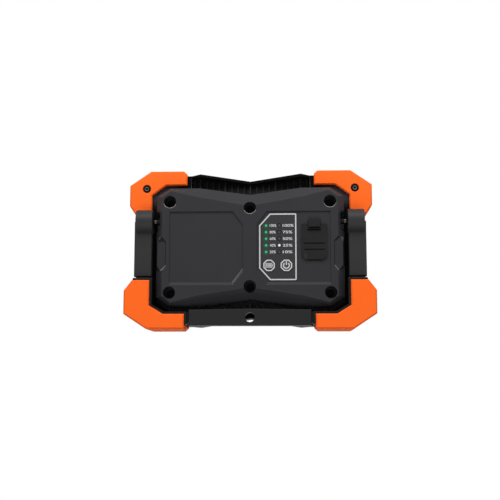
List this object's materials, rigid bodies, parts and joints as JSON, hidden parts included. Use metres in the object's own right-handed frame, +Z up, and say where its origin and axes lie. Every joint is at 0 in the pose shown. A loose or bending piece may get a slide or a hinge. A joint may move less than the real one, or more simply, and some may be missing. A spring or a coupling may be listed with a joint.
{
  "type": "rechargeable work light",
  "caption": "Butterfly-shaped LED work light and power bank with rubber corner bumpers, a rear control panel, a covered USB bay and a fold-out stand with a hanging hole.",
  "frame": {"origin": "centre of the base on the surface that the light stands on, with the stand folded in", "axes": "+Z up, +Y is the way the light shines, -Y is the control side, +X is to the right seen from the control side"},
  "size_m": [0.1952, 0.046, 0.128],
  "materials": {
    "black_plastic": "fine moulded texture, satin",
    "orange_rubber": "smooth matt rubber",
    "black_rubber": "matt",
    "anodised": "black anodised",
    "steel": "plated",
    "brass": "turned",
    "clear_lens": "clear and polished",
    "white_plastic": "smooth",
    "phosphor": "silicone with yellow phosphor",
    "circuit_board": "solder mask",
    "cell_wrap": "shrink wrap",
    "green_lamp": "clear plastic, lit green",
    "white_lamp": "clear plastic, one lamp lit white",
    "label_film": "printed film"
  },
  "bodies": {
    "housing": {"main_frame": "black_plastic", "front_bezel": "black_plastic", "lens": "clear_lens", "lens_gasket": "black_rubber", "reflector": "white_plastic", "led_module_left": "anodised", "led_module_right": "anodised", "led_emitter_left": "phosphor", "led_emitter_right": "phosphor", "heat_sink": "anodised", "cover_gasket": "black_rubber", "rear_cover": "black_plastic", "cover_screw_upper_left": "steel", "cover_screw_upper_right": "steel", "cover_screw_lower_left": "steel", "cover_screw_lower_right": "steel", "cover_screw_upper_middle": "steel", "cover_screw_lower_middle": "steel", "frame_bumper_upper_left": "orange_rubber", "frame_bumper_upper_right": "orange_rubber", "frame_bumper_lower_left": "orange_rubber", "frame_bumper_lower_right": "orange_rubber", "bumper_screw_upper_left": "steel", "bumper_screw_upper_right": "steel", "bumper_screw_lower_left": "steel", "bumper_screw_lower_right": "steel", "battery_holder": "black_plastic", "battery_cell_left": "cell_wrap", "battery_cell_right": "cell_wrap", "battery_strip_upper": "steel", "battery_strip_lower": "steel", "control_board": "circuit_board", "board_screw_upper_inner": "steel", "board_screw_upper_outer": "steel", "board_screw_lower_inner": "steel", "board_screw_lower_outer": "steel", "usb_output_port": "steel", "usb_input_port": "steel", "level_light_guide": "green_lamp", "mode_light_guide": "white_lamp", "control_label": "label_film", "battery_switch": "steel", "power_switch": "steel", "port_cover_anchor": "black_rubber", "pivot_bolt_left": "steel", "pivot_bolt_right": "steel", "pivot_insert_left": "brass", "pivot_insert_right": "brass", "pivot_washer_left": "steel", "pivot_washer_right": "steel"},
    "stand": {"stand_bracket": "black_plastic", "stand_bumper_left": "orange_rubber", "stand_bumper_right": "orange_rubber", "pivot_bush_left": "white_plastic", "pivot_bush_right": "white_plastic"},
    "battery_button": {"battery_button": "black_rubber"},
    "power_button": {"power_button": "black_rubber"},
    "port_cover": {"port_cover": "black_rubber"}
  },
  "joints": [
    {"name": "stand_hinge", "type": "hinge", "parent": "housing", "child": "stand", "pos_m": [0, -0.0133, 0.0847], "axis": [-1, 0, 0], "range_deg": [0, 180]},
    {"name": "battery_press", "type": "slide", "parent": "housing", "child": "battery_button", "axis": [0, 1, 0], "range_m": [0, 0.0005], "stiffness_N_per_m": 800},
    {"name": "power_press", "type": "slide", "parent": "housing", "child": "power_button", "axis": [0, 1, 0], "range_m": [0, 0.0005], "stiffness_N_per_m": 800},
    {"name": "port_cover_hinge", "type": "hinge", "parent": "housing", "child": "port_cover", "pos_m": [0.0502, -0.0204, 0.0541], "axis": [1, 0, 0], "range_deg": [0, 110]}
  ]
}
